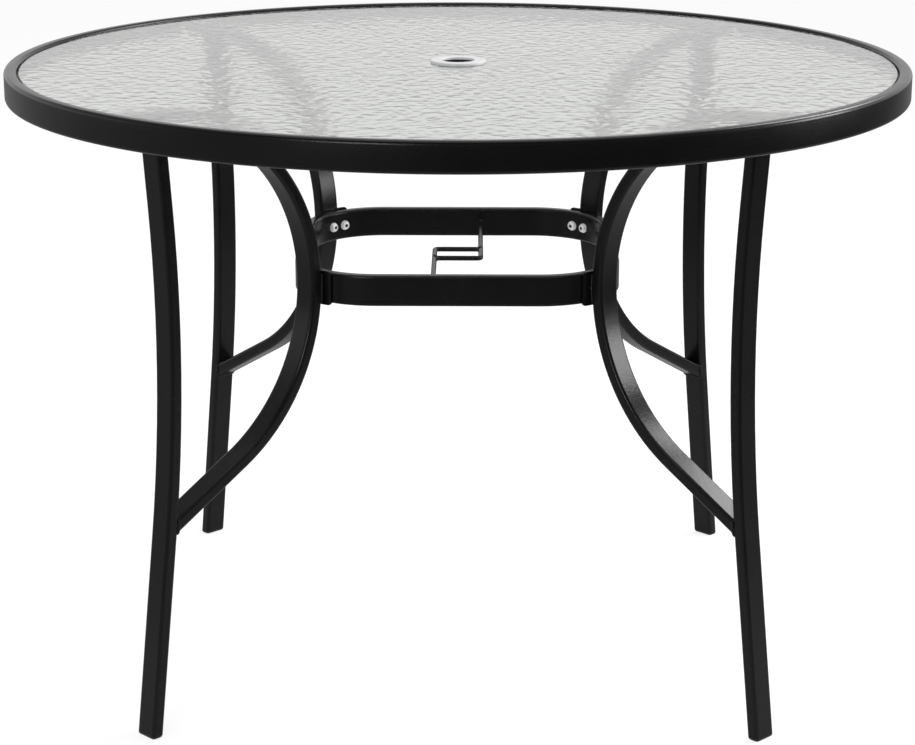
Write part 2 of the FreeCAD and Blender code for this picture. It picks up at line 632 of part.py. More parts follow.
def brace_path(body):
    """Middle line of the brace: in from the rim, down round the apex, out to the leg."""
    path = new_sketch(body, "XZ_Plane")
    level, apex = amount("braceLevel"), amount("braceApex")
    upper, lower = amount("braceUpperBend"), amount("braceLowerBend")
    start = Vector(amount("rimInnerRadius - braceEndGap"), level, 0)
    upper_centre = Vector(apex + upper, level - upper, 0)
    lower_centre = Vector(apex + lower, level - upper, 0)
    end = Vector(amount("braceFootRadius"), amount("braceFootHeight"), 0)
    gap = end - lower_centre
    heading = math.atan2(gap.y, gap.x) - math.acos(lower / gap.Length)
    leave = lower_centre + Vector(math.cos(heading), math.sin(heading), 0) * lower
    up = Vector(0, 0, 1)
    run = sketch_line(path, start, upper_centre + Vector(0, upper, 0))
    upper_arc = path.addGeometry(Part.ArcOfCircle(Part.Circle(upper_centre, up, upper),
                                                  math.pi / 2, math.pi), False)
    lower_arc = path.addGeometry(Part.ArcOfCircle(Part.Circle(lower_centre, up, lower),
                                                  math.pi, heading % (2 * math.pi)), False)
    tail = sketch_line(path, leave, end)
    for here, there in ((run, upper_arc), (upper_arc, lower_arc), (lower_arc, tail)):
        path.addConstraint(Sketcher.Constraint("Tangent", here, 2, there, 1))
    path.addConstraint(Sketcher.Constraint("Horizontal", run))
    path.addConstraint(Sketcher.Constraint("Horizontal", upper_arc, 3, upper_arc, 2))
    measure(path, "Radius", (upper_arc,), "braceUpperBend")
    measure(path, "Radius", (lower_arc,), "braceLowerBend")
    measure(path, "DistanceX", (-1, 1, upper_arc, 2), "braceApex")
    hold_point(path, run, 1, "rimInnerRadius - braceEndGap", "braceLevel")
    hold_point(path, tail, 2, "braceFootRadius", "braceFootHeight")
    return path


def make_brace(corner, turn):
    """C-shaped brace, coped to the leg at its lower end."""
    body = new_body("brace_" + corner, turn)
    path = brace_path(body)
    for kind, wall in (("AdditivePipe", "0"), ("SubtractivePipe", "steelWall")):
        section = new_sketch(body, "YZ_Plane", offset={"z": "rimInnerRadius - braceEndGap"})
        draw_rounded(section, f"tubeWidth / 2 - {wall}", f"tubeDepth / 2 - {wall}",
                     f"tubeCorner - {wall}", up="braceLevel")
        sweep(body, kind, section, path)
    sweep(body, "SubtractivePipe", leg_section(body, "0"), leg_path(body, "legTop - 2 * tubeWidth"))
    cross_hole(body)


# Centre ring, its brackets and bolts


def turned_at_corner(body, side, plane):
    """A sketch that faces out along a bolt of the ring's corner, in that corner's frame."""
    turn = f"{side}asin(boltSpacing / 2 / ringInnerCorner)"
    offset = {"x": "cornerReach", "z": "ringLevel"}
    if plane == "YZ_Plane":
        offset = {"y": "ringLevel", "z": "cornerReach"}
    axis = Vector(0, 0, 1) if plane == "XY_Plane" else Vector(0, 1, 0)
    return new_sketch(body, plane, offset=offset, axis=axis, turn=turn)


def square_loop(body, inset):
    """The centre ring's plan: a round-cornered square with another inside it."""
    plan = new_sketch(body, "XY_Plane", axis=Vector(0, 0, 1), turn="45",
                      offset={"z": f"ringLevel - ringHeight / 2 + {inset}"})
    for shift in (inset, f"ringDepth - {inset}"):
        draw_rounded(plan, f"ringHalfSide - ({shift})", f"ringHalfSide - ({shift})",
                     f"ringCorner - ({shift})")
    body.Tip = pad_up(body, plan, f"ringHeight - 2 * {inset}")
    round_edges(body, "Fillet", lambda edge: abs(edge.BoundBox.ZMax - edge.BoundBox.ZMin) < tiny,
                Radius=f"ringEdge - {inset}")


def make_centre_ring():
    """One closed loop of hollow tube. Its bodies keep a corner on +X until they are placed."""
    bar = new_body("centre_ring_bar")
    square_loop(bar, "0")
    holes = []
    for side in ("-", ""):
        hole = turned_at_corner(bar, side, "YZ_Plane")
        draw_circle(hole, "freeRadius")
        holes.append(cut_forward(bar, hole, "bracketOuter"))
    repeat_round(bar, holes, "cornerCount")
    hollow = new_body("centre_ring_hollow")
    square_loop(hollow, "steelWall")
    ring = document.addObject("Part::Cut", "centre_ring")
    ring.Base, ring.Tool = bar, hollow
    ring.Placement = Placement(Vector(0, 0, 0), Rotation(Vector(0, 0, 1), first_turn))


def make_bracket(corner, turn):
    """Curved saddle between the ring's corner and the brace, with two threaded holes."""
    body = new_body("saddle_bracket_" + corner, turn)
    plan = new_sketch(body, "XY_Plane", offset={"z": "ringLevel - bracketHeight / 2"})
    half = "bracketHalfLength / bracketOuter * 180 / pi"
    draw_sector(plan, "ringCorner", "bracketOuter", half, "cornerReach")
    body.Tip = pad_up(body, plan, "bracketHeight")
    round_edges(body, "Fillet", lambda edge: edge.Length < amount("bracketThickness") + 0.01,
                Radius="bracketRound")
    for side in ("-", ""):
        hole = turned_at_corner(body, side, "YZ_Plane")
        draw_circle(hole, "snugRadius")
        body.Tip = cut_forward(body, hole, "2 * bracketOuter")


def make_ring_bolts():
    body = new_body("ring_bolts", turn=first_turn, loose=True)
    features = []
    for side in ("-", ""):
        shape = turned_at_corner(body, side, "XY_Plane")
        button_profile(shape, "headSeat", "bracketOuter - boltShort")
        features.append(turn_round(body, shape, "H_Axis"))
        key = turned_at_corner(body, side, "YZ_Plane")
        draw_hexagon(key, "keyWidth")
        features.append(cut_forward(body, key, "headSeat - boltHeadHeight + keyDepth"))
    repeat_round(body, features, "cornerCount")


def make_ring_washers():
    body = new_body("ring_washers", turn=first_turn, loose=True)
    features = []
    for side in ("-", ""):
        shape = turned_at_corner(body, side, "XY_Plane")
        draw_outline(shape, [("headSeat", "freeRadius"), ("headSeat", "washerRadius"),
                             ("washerSeat", "washerRadius"), ("washerSeat", "freeRadius")])
        features.append(turn_round(body, shape, "H_Axis"))
    repeat_round(body, features, "cornerCount")


def make_guide(label, turn):
    """Bent rod: a long run from the ring, a bend, and a short run to the other rod."""
    body = new_body(label, turn)
    path = new_sketch(body, "XY_Plane", offset={"z": "ringLevel"})
    draw_bend(path, ("rodRadius - guideHalfWidth", "-guideHalfDepth"),
              ("guideHalfWidth", "ringHalfSide - ringDepth"), "0", "90", "rodBend")
    section = new_sketch(body, "YZ_Plane", offset={"z": "rodRadius - guideHalfWidth"})
    draw_circle(section, "rodRadius", across="-guideHalfDepth", up="ringLevel")
    body.Tip = sweep(body, "AdditivePipe", section, path)


make_rim()
make_tabs()
make_pads()
make_glass()
make_umbrella_ring()
make_bush()
for corner, turn in corners:
    make_socket(corner, turn)
    make_leg(corner, turn)
    make_foot_cap(corner, turn)
    make_brace(corner, turn)
    make_bracket(corner, turn)
make_socket_bolts()
make_socket_nuts()
make_centre_ring()
make_ring_bolts()
make_ring_washers()
make_guide("pole_guide_rear", 0)
make_guide("pole_guide_front", 180)
document.recompute()


# Check every object, then write each piece to its own file


def is_piece(item):
    """Whether an object is a finished piece, not a feature or the stock for a cut."""
    if item.TypeId == "Part::Cut":
        return True
    return item.TypeId == "PartDesign::Body" and not item.InList


faults = [item.Name for item in document.Objects if {"Invalid", "Error"} & set(item.State)]
if faults:
    raise RuntimeError("objects in error: " + ", ".join(faults))

pieces = [item for item in document.Objects if is_piece(item)]
for piece in pieces:
    shape = piece.Shape
    if shape.isNull() or not shape.isValid() or not shape.Solids:
        raise RuntimeError("bad shape: " + piece.Label)

os.makedirs("parts", exist_ok=True)
for piece in pieces:
    piece.Shape.exportStep("parts/" + piece.Label + ".step")
    print(piece.Label, len(piece.Shape.Solids), "solids", round(piece.Shape.Volume), "mm3")
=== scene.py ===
import bmesh
import bpy
import math
from mathutils import Matrix, Quaternion, Vector, noise


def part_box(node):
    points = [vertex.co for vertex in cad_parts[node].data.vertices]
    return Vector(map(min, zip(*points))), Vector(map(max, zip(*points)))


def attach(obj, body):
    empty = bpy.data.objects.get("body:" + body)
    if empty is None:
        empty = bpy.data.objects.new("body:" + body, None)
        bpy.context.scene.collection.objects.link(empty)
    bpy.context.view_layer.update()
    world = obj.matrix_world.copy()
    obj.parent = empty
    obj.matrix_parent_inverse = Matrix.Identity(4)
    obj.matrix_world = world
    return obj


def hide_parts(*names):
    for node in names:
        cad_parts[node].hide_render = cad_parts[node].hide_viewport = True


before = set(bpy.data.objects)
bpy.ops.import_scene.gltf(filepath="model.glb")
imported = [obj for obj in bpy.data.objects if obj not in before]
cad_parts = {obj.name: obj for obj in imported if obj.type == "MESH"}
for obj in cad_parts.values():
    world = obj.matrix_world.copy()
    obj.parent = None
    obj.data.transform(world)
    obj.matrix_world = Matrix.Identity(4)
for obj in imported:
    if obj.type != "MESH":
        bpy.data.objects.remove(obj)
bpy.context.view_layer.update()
mm = 0.001
cornerTurns = {"rear_right": 45, "rear_left": 135, "front_left": 225, "front_right": 315}
print("frame loaded")

# Camera, at the photograph's view

cameraValues = {
    "place": (0.017, -2.9187, 1.1618),
    "pitchDown": 15.884,  # degrees, as are the turn and the roll
    "turn": 0.335,
    "roll": 0.079,
    "focalMm": 96.71,
    "sensorMm": 36,
}


def addCamera(values):
    lens = bpy.data.cameras.new("camera")
    lens.lens = values["focalMm"]
    lens.sensor_width = values["sensorMm"]
    camera = bpy.data.objects.new("camera", lens)
    bpy.context.scene.collection.objects.link(camera)
    turned = Matrix.Rotation(math.radians(values["turn"]), 4, "Z")
    tipped = Matrix.Rotation(math.radians(90 - values["pitchDown"]), 4, "X")
    rolled = Matrix.Rotation(math.radians(values["roll"]), 4, "Z")
    camera.matrix_world = Matrix.Translation(values["place"]) @ turned @ tipped @ rolled
    bpy.context.scene.camera = camera


addCamera(cameraValues)
print("camera placed")

# Floor, sky and lamps

floorValues = {
    "radius": 14.0,
    "edges": 96,
    "roughness": 0.9,
    "diffuse": 0.9,  # what bounces light up under the table
    "seenDiffuse": 0.30,  # the share that the table can shade
    "seenGlow": 0.79,
    "nearMirrored": (0.7, 2.4, 0.50, 0.05),  # a painted pool of light round the table, for mirrored rays: from, to, and the tones there
    "sideMirrored": (-2.2, 0.4, 0.02, 0.34),  # painted light across the room, brighter toward the rear left: from, to, and the tones there
    "brightSide": (-0.83, 0.55, 0.0),  # the way across, toward the painted bright rear left
    "throughGlass": (0.9, 2.2, 0.95, 0.52),  # the painted pool of light as it is seen through the glass top
}
skyValues = {
    "ambient": 0.55,
    "seen": 1.0,
    "mirroredLow": 0.94,  # mirrored by the coat and the glass at a low angle
    "mirroredHigh": 0.35,
    "throughLow": 0.85,  # the same, for what comes up through the glass
    "throughHigh": 1.0,
    "highFrom": (0.22, 0.50),  # from low to high, as sines of the height
    "frontDark": 0.25,  # dims what is mirrored from the front, but not what comes through glass
    "frontFrom": (-0.6, 0.1),  # from front to back, as the direction's Y
}
lampValues = {
    "frontLamp": {"watts": 24, "size": (1.1, 1.1), "place": (-1.3, -3.1, 1.5), "aim": (0, 0, 0.6)},
    "sideLamp": {"watts": 48, "size": (1.2, 1.2), "place": (1.9, 1.3, 2.5), "aim": (0, 0, 0.6)},
    "rightLamp": {"watts": 27, "size": (0.7, 1.0), "place": (2.5, 0.0, 1.2), "aim": (0, 0, 1.0)},
    "topLamp": {"watts": 26, "size": (3.0, 3.0), "place": (0.0, 0.4, 3.4), "aim": (0, 0, 0.6)},
}


def addLamp(name, values):
    data = bpy.data.lights.new(name, "AREA")
    data.energy = values["watts"]
    data.shape = "RECTANGLE"
    data.size, data.size_y = values["size"]
    lamp = bpy.data.objects.new(name, data)
    lamp.location = values["place"]
    toward = Vector(values["aim"]) - Vector(values["place"])
    lamp.rotation_euler = toward.to_track_quat("-Z", "Y").to_euler()
    lamp.visible_camera = False
    lamp.visible_transmission = False
    bpy.context.scene.collection.objects.link(lamp)


class Nodes:
    # Adds nodes to one tree and links what it is given
    def __init__(self, tree):
        self.tree = tree

    def put(self, socket, value):
        if isinstance(value, bpy.types.NodeSocket):
            self.tree.links.new(value, socket)
        else:
            socket.default_value = value

    def maths(self, kind, first, second=0.0):
        node = self.tree.nodes.new("ShaderNodeMath")
        node.operation = kind
        self.put(node.inputs[0], first)
        self.put(node.inputs[1], second)
        return node.outputs[0]

    def between(self, share, low, high):
        # low where share is 0, high where it is 1
        node = self.tree.nodes.new("ShaderNodeMix")
        self.put(node.inputs["Factor"], share)
        self.put(node.inputs["A"], low)
        self.put(node.inputs["B"], high)
        return node.outputs["Result"]

    def ramp(self, value, start, end, low, high):
        node = self.tree.nodes.new("ShaderNodeMapRange")
        self.put(node.inputs["Value"], value)
        for label, number in zip(("From Min", "From Max", "To Min", "To Max"), (start, end, low, high)):
            self.put(node.inputs[label], number)
        return node.outputs["Result"]

    def vectors(self, kind, first, second=(0, 0, 0)):
        node = self.tree.nodes.new("ShaderNodeVectorMath")
        node.operation = kind
        self.put(node.inputs[0], first)
        self.put(node.inputs[1], second)
        return node.outputs["Value"]

    def place(self, kind):
        coordinates = self.tree.nodes.new("ShaderNodeTexCoord").outputs[kind]
        split = self.tree.nodes.new("ShaderNodeSeparateXYZ")
        self.tree.links.new(coordinates, split.inputs["Vector"])
        return split.outputs


def addFloor(values):
    mesh = bpy.data.meshes.new("floor")
    shape = bmesh.new()
    bmesh.ops.create_circle(shape, cap_ends=True, radius=values["radius"], segments=values["edges"])
    shape.to_mesh(mesh)
    shape.free()
    floor = bpy.data.objects.new("floor", mesh)
    bpy.context.scene.collection.objects.link(floor)
    paint = bpy.data.materials.new("paleFloor")
    paint.use_nodes = True
    shader = paint.node_tree.nodes["Principled BSDF"]
    nodes = Nodes(paint.node_tree)
    path = paint.node_tree.nodes.new("ShaderNodeLightPath")
    glossy, through = path.outputs["Is Glossy Ray"], path.outputs["Is Transmission Ray"]
    seen = nodes.maths("MAXIMUM", path.outputs["Is Camera Ray"], glossy)
    seen = nodes.maths("MAXIMUM", seen, through)
    reflected = nodes.maths("GREATER_THAN", glossy, through)  # a ray through glass counts as both
    spot = paint.node_tree.nodes.new("ShaderNodeTexCoord").outputs["Object"]
    near = nodes.ramp(nodes.vectors("LENGTH", spot), *values["nearMirrored"])
    side = nodes.ramp(nodes.vectors("DOT_PRODUCT", spot, values["brightSide"]), *values["sideMirrored"])
    pool = nodes.ramp(nodes.vectors("LENGTH", spot), *values["throughGlass"])
    # Painted light: for mirrored rays and rays through glass, the floor glows brighter in a pool round
    # the table and toward the rear left
    brightest = nodes.maths("MAXIMUM", near, side)
    share = nodes.between(reflected, nodes.between(through, 1.0, pool), brightest)
    tone = nodes.between(seen, values["diffuse"], nodes.maths("MULTIPLY", share, values["seenDiffuse"]))
    paint.node_tree.links.new(tone, shader.inputs["Base Color"])
    glow = nodes.maths("MULTIPLY", share, values["seenGlow"])
    paint.node_tree.links.new(nodes.maths("MULTIPLY", glow, seen), shader.inputs["Emission Strength"])
    shader.inputs["Emission Color"].default_value = (1, 1, 1, 1)
    shader.inputs["Roughness"].default_value = values["roughness"]
    shader.inputs["Specular IOR Level"].default_value = 0.0
    mesh.materials.append(paint)


def addSky(values):
    world = bpy.data.worlds.new("studioSky")
    bpy.context.scene.world = world
    world.use_nodes = True
    nodes = Nodes(world.node_tree)
    background = world.node_tree.nodes["Background"]
    background.inputs["Color"].default_value = (1, 1, 1, 1)
    path = world.node_tree.nodes.new("ShaderNodeLightPath")
    direction = nodes.place("Generated")
    through = path.outputs["Is Transmission Ray"]
    low = nodes.between(through, values["mirroredLow"], values["throughLow"])
    high = nodes.between(through, values["mirroredHigh"], values["throughHigh"])
    height = nodes.ramp(direction["Z"], *values["highFrom"], low, high)
    front = nodes.ramp(direction["Y"], *values["frontFrom"], values["frontDark"], 1.0)
    mirrored = nodes.maths("MULTIPLY", height, nodes.maths("MAXIMUM", front, through))
    bounced = nodes.maths("MAXIMUM", path.outputs["Is Glossy Ray"], through)
    strength = nodes.between(bounced, values["ambient"], mirrored)
    strength = nodes.between(path.outputs["Is Camera Ray"], strength, values["seen"])
    world.node_tree.links.new(strength, background.inputs["Strength"])


bpy.context.scene.view_settings.view_transform = "Standard"
addFloor(floorValues)
addSky(skyValues)
for name, values in lampValues.items():
    addLamp(name, values)
print("studio lit")

# Shared surface effects, as node groups

peelValues = {"detail": 1.0, "swellScale": 0.22}
handlingValues = {"detail": 5.0, "evenTone": 0.5}


def newGroup(name, inputs, outputs):
    group = bpy.data.node_groups.new(name, "ShaderNodeTree")
    for label, kind, start in inputs:
        socket = group.interface.new_socket(label, in_out="INPUT", socket_type=kind)
        socket.default_value = start
    for label, kind in outputs:
        group.interface.new_socket(label, in_out="OUTPUT", socket_type=kind)
    inside = group.nodes.new("NodeGroupInput")
    outside = group.nodes.new("NodeGroupOutput")
    return group, inside, outside


def noiseIn(group, scale, detail, vector):
    field = group.nodes.new("ShaderNodeTexNoise")
    field.inputs["Detail"].default_value = detail
    group.links.new(scale, field.inputs["Scale"])
    group.links.new(vector, field.inputs["Vector"])
    return field.outputs["Fac"]


def makeOrangePeel(values):
    # Small soft bumps, with a slower swell under them
    group, inside, outside = newGroup("orangePeel", [
        ("Bumps per metre", "NodeSocketFloat", 500.0),
        ("Swell share", "NodeSocketFloat", 0.35)], [("Height", "NodeSocketFloat")])
    nodes = Nodes(group)
    place = group.nodes.new("ShaderNodeTexCoord").outputs["Object"]
    bumps = inside.outputs["Bumps per metre"]
    fine = noiseIn(group, bumps, values["detail"], place)
    slow = noiseIn(group, nodes.maths("MULTIPLY", bumps, values["swellScale"]), values["detail"], place)
    swell = nodes.maths("MULTIPLY", slow, inside.outputs["Swell share"])
    group.links.new(nodes.maths("ADD", fine, swell), outside.inputs["Height"])
    return group


def makeHandling(values):
    # Slow changes of tone and gloss, as on a surface that has been wiped and touched
    group, inside, outside = newGroup("handling", [
        ("Colour", "NodeSocketColor", (0.5, 0.5, 0.5, 1)),
        ("Tone change", "NodeSocketFloat", 0.1),
        ("Roughness", "NodeSocketFloat", 0.4),
        ("Gloss change", "NodeSocketFloat", 0.06),
        ("Patches per metre", "NodeSocketFloat", 14.0),
    ], [("Colour", "NodeSocketColor"), ("Roughness", "NodeSocketFloat")])
    nodes = Nodes(group)
    place = group.nodes.new("ShaderNodeTexCoord").outputs["Object"]
    patches = noiseIn(group, inside.outputs["Patches per metre"], values["detail"], place)
    centred = nodes.maths("SUBTRACT", patches, values["evenTone"])
    gain = nodes.maths("ADD", nodes.maths("MULTIPLY", centred, inside.outputs["Tone change"]), 1.0)
    tinted = group.nodes.new("ShaderNodeVectorMath")
    tinted.operation = "SCALE"
    group.links.new(inside.outputs["Colour"], tinted.inputs[0])
    group.links.new(gain, tinted.inputs["Scale"])
    group.links.new(tinted.outputs["Vector"], outside.inputs["Colour"])
    gloss = nodes.maths("MULTIPLY", centred, inside.outputs["Gloss change"])
    group.links.new(nodes.maths("ADD", inside.outputs["Roughness"], gloss), outside.inputs["Roughness"])
    return group


orangePeel = makeOrangePeel(peelValues)
handling = makeHandling(handlingValues)


def newMaterial(name):
    material = bpy.data.materials.new(name)
    material.use_nodes = True
    return material, material.node_tree, material.node_tree.nodes["Principled BSDF"]


def placeGroup(tree, group, values):
    node = tree.nodes.new("ShaderNodeGroup")
    node.node_tree = group
    for label, value in values.items():
        node.inputs[label].default_value = value
    return node


def makeCoated(name, values):
    # A paint or plastic: slow changes of tone over a bumpy skin
    material, tree, shader = newMaterial(name)
    skin = placeGroup(tree, handling, {
        "Colour": values["colour"], "Tone change": values["toneChange"],
        "Roughness": values["roughness"], "Gloss change": values["glossChange"],
        "Patches per metre": values["patches"]})
    tree.links.new(skin.outputs["Colour"], shader.inputs["Base Color"])
    tree.links.new(skin.outputs["Roughness"], shader.inputs["Roughness"])
    peel = placeGroup(tree, orangePeel, {"Bumps per metre": values["bumps"],
                                         "Swell share": values["swell"]})
    bump = tree.nodes.new("ShaderNodeBump")
    bump.inputs["Strength"].default_value = values["bumpStrength"]
    bump.inputs["Distance"].default_value = values["bumpDepth"]
    tree.links.new(peel.outputs["Height"], bump.inputs["Height"])
    tree.links.new(bump.outputs["Normal"], shader.inputs["Normal"])
    shader.inputs["Specular IOR Level"].default_value = values["specular"]
    shader.inputs["Metallic"].default_value = values.get("metallic", 0)
    shader.inputs["Transmission Weight"].default_value = values.get("clear", 0)
    return material


powderCoatValues = {"colour": (0.0035, 0.0035, 0.004, 1), "toneChange": 0.5, "roughness": 0.26,
                    "glossChange": 0.08, "patches": 18, "bumps": 420, "swell": 0.5,
                    "bumpStrength": 0.30, "bumpDepth": 0.0004, "specular": 0.27}
whitePlasticValues = {"colour": (0.65, 0.65, 0.665, 1), "toneChange": 0.05, "roughness": 0.34,
                      "glossChange": 0.1, "patches": 40, "bumps": 1600, "swell": 0.2,
                      "bumpStrength": 0.1, "bumpDepth": 0.0002, "specular": 0.5}
blackPlasticValues = {"colour": (0.010, 0.010, 0.010, 1), "toneChange": 0.3, "roughness": 0.48,
                      "glossChange": 0.12, "patches": 50, "bumps": 2200, "swell": 0.2,
                      "bumpStrength": 0.3, "bumpDepth": 0.0002, "specular": 0.4}
zincValues = {"colour": (0.93, 0.93, 0.92, 1), "toneChange": 0.2, "roughness": 0.32,
              "glossChange": 0.25, "patches": 160, "bumps": 1800, "swell": 0.3,
              "bumpStrength": 0.15, "bumpDepth": 0.0001, "specular": 0.8, "metallic": 0.25}
# Near-black paint for the bolts' key sockets: painted shade where the recess is shaded
paintedSocketShadeValues = {**zincValues, "colour": (0.012, 0.012, 0.012, 1), "roughness": 0.6, "metallic": 0}
vinylValues = {**whitePlasticValues, "colour": (0.9, 0.93, 0.93, 1), "clear": 0.9}
glassValues = {"colour": (0.90, 0.93, 0.885, 1), "roughness": 0.05, "ior": 1.52}

powderCoat = makeCoated("blackPowderCoat", powderCoatValues)
whitePlastic = makeCoated("whitePlastic", whitePlasticValues)
blackPlastic = makeCoated("blackPlastic", blackPlasticValues)
zincPlate = makeCoated("zincPlate", zincValues)
paintedSocketShade = makeCoated("paintedKeySocketShade", paintedSocketShadeValues)
clearVinyl = makeCoated("clearVinyl", vinylValues)


def makeGlass(values):
    material, _, shader = newMaterial("waterGlass")
    shader.inputs["Base Color"].default_value = values["colour"]
    shader.inputs["Roughness"].default_value = values["roughness"]
    shader.inputs["IOR"].default_value = values["ior"]
    shader.inputs["Transmission Weight"].default_value = 1.0
    return material


waterGlass = makeGlass(glassValues)
print("materials made")

# CAD nodes that keep their shape

finishes = {
    powderCoat: ["glass_tabs", "centre_ring", "pole_guide_rear", "pole_guide_front"],
    zincPlate: ["socket_nuts", "ring_washers"],
    whitePlastic: ["umbrella_ring"],
    blackPlastic: ["pole_bush"],
    clearVinyl: ["glass_pads"],
}
cornerParts = ("leg_", "brace_", "rim_socket_", "saddle_bracket_")
for corner in cornerTurns:
    finishes[powderCoat] += [part + corner for part in cornerParts]
for finish, names in finishes.items():
    for name in names:
        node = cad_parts[name]
        node.data.materials.clear()
        node.data.materials.append(finish)
print("CAD nodes finished")

# Modelled pieces

sharpAngle = 35  # degrees from which a bend between two faces shows as an edge


def addPiece(name, points, faces, finish, body, sharpFrom=sharpAngle):
    mesh = bpy.data.meshes.new(name)
    mesh.from_pydata(points, [], faces)
    mesh.shade_smooth()
    mesh.set_sharp_from_angle(angle=math.radians(sharpFrom))
    mesh.materials.append(finish)
    piece = bpy.data.objects.new(name, mesh)
    bpy.context.scene.collection.objects.link(piece)
    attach(piece, body)
    return piece


def lathe(profile, spokes):
    # Points and faces of a closed profile turned about the upright axis
    points = []
    for n in range(spokes):
        turn = 2 * math.pi * n / spokes
        points += [(r * math.cos(turn), r * math.sin(turn), z) for r, z in profile]
    count = len(profile)
    faces = []
    for n in range(spokes):
        here, there = n * count, (n + 1) % spokes * count
        for k in range(count):
            following = (k + 1) % count
            faces.append((here + k, here + following, there + following, there + k))
    return points, faces


def roundedOutline(halfAcross, halfUp, corner, steps):
    # A round-cornered oblong about (0, 0), counter-clockwise
    outline = []
    for quarter, (sideways, upwards) in enumerate(((1, 1), (-1, 1), (-1, -1), (1, -1))):
        for n in range(steps + 1):
            turn = math.pi / 2 * (quarter + n / steps)
            outline.append((sideways * (halfAcross - corner) + corner * math.cos(turn),
                            upwards * (halfUp - corner) + corner * math.sin(turn)))
    return outline


def axisDistances(node):
    return [vertex.co.xy.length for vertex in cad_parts[node].data.vertices]


# Rim, turned in many steps so that its long highlight runs smoothly

rimShape = {
    "wall": 1.2 * mm,
    "edge": 4.5 * mm,
    "edgeSteps": 8,
    "spokes": 720,
    "drainRadius": 2.5 * mm,
    "drains": 4,
    "drainTurn": 22.5,  # first drain from the right-hand side, degrees
    "drainSides": 24,
}


def makeRim(values):
    low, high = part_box("table_rim")
    inner, outer = min(axisDistances("table_rim")), high.x
    middle, level = (inner + outer) / 2, (low.z + high.z) / 2
    halfAcross, halfUp = (outer - inner) / 2, (high.z - low.z) / 2
    points, faces = [], []
    for inset in (0, values["wall"]):
        outline = roundedOutline(halfAcross - inset, halfUp - inset, values["edge"] - inset,
                                 values["edgeSteps"])
        if not inset:
            outline.reverse()
        skin, around = lathe([(middle + a, level + b) for a, b in outline], values["spokes"])
        faces += [tuple(k + len(points) for k in face) for face in around]
        points += skin
    rim = addPiece("turnedRim", points, faces, powderCoat, "frame")
    shape = bmesh.new()
    for n in range(values["drains"]):
        turn = Matrix.Rotation(math.radians(values["drainTurn"] + 360 / values["drains"] * n), 4, "Z")
        place = turn @ Matrix.Translation((middle, 0, low.z + values["wall"] / 2))
        bmesh.ops.create_cone(shape, cap_ends=True, segments=values["drainSides"], matrix=place,
                              radius1=values["drainRadius"], radius2=values["drainRadius"],
                              depth=values["wall"] * 2)
    drills = bpy.data.meshes.new("drainDrills")
    shape.to_mesh(drills)
    shape.free()
    drill = bpy.data.objects.new("drainDrills", drills)
    bpy.context.scene.collection.objects.link(drill)
    cut = rim.modifiers.new("drains", "BOOLEAN")
    cut.object = drill
    cut.solver = "EXACT"
    ready = rim.evaluated_get(bpy.context.evaluated_depsgraph_get())
    drilled = bpy.data.meshes.new_from_object(ready)
    rim.modifiers.clear()
    rim.data = drilled
    bpy.data.objects.remove(drill)
    rim.data.shade_smooth()
    rim.data.set_sharp_from_angle(angle=math.radians(sharpAngle))
    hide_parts("table_rim")


makeRim(rimShape)
print("rim turned")

# Glass top with its water-wave underside

glassShape = {
    "cell": 9.5 * mm,
    "fineCell": 6 * mm,
    "fineStart": (7.3, 1.9, 0),  # keeps the fine ripple apart from the waves
    "relief": 0.25 * mm,
    "fineRelief": 0.05 * mm,
    "bend": 0.6,  # how far a slower field pulls the waves out of round
    "bendScale": 0.45,
    "rings": 210,
    "spokes": 1200,
    "edge": 0.8 * mm,
    "seed": 5,  # settles the slower field
}


def waveHeight(x, y, values):
    # Soft pools and ridges, with a fine ripple on them
    place = Vector((x, y, 0)) / values["cell"]
    bent = place + noise.noise_vector(place * values["bendScale"]) * values["bend"]
    broad = noise.noise(bent)
    fine = noise.noise(Vector((x, y, 0)) / values["fineCell"] + Vector(values["fineStart"]))
    return values["relief"] * broad + values["fineRelief"] * fine


def makeGlassTop(values):
    noise.seed_set(values["seed"])
    low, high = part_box("glass_top")
    outer, inner = high.x, min(axisDistances("glass_top"))
    edge = values["edge"]
    base, top = low.z + values["relief"] + values["fineRelief"], high.z
    profile = [(inner, top - edge), (inner + edge, top), (outer - edge, top), (outer, top - edge),
               (outer, base + edge)]
    first, last = outer - edge, inner + edge
    profile += [(first + (last - first) * n / values["rings"], None)
                for n in range(values["rings"] + 1)]  # heights follow from the waves
    profile.append((inner, base + edge))
    points, faces = lathe(profile, values["spokes"])
    points = [(x, y, base - waveHeight(x, y, values) if z is None else z) for x, y, z in points]
    piece = addPiece("waterGlassTop", points, faces, waterGlass, "glass")
    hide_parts("glass_top")


makeGlassTop(glassShape)
print("glass made")

# Leg and brace tube, and where the leg stands

tubeValues = {
    "width": 30 * mm,
    "depth": 15 * mm,
    "corner": 4 * mm,
    "footRadius": 490 * mm,
    "legLean": 7.15,  # lower part of the leg from upright, degrees
    "legTopRadius": 458.5 * mm,
    "legTopLean": 4.5,
    "braceFootHeight": 241.2 * mm,
    "lowerBendShare": 0.87,  # lower bend, of the drop from the innermost point to the leg
}

# Foot caps, moulded with a rounded sole

footShape = {
    "soleRound": 3.4 * mm,
    "roundSteps": 7,
    "flange": 4 * mm,
    "stem": 24 * mm,
    "stemInset": 1.5 * mm,
    "cornerSteps": 7,
    "cornerShare": 0.6,  # how fast the corner tightens as the outline is drawn in
    "leastCorner": 1 * mm,
    "sharpFrom": 40,
}


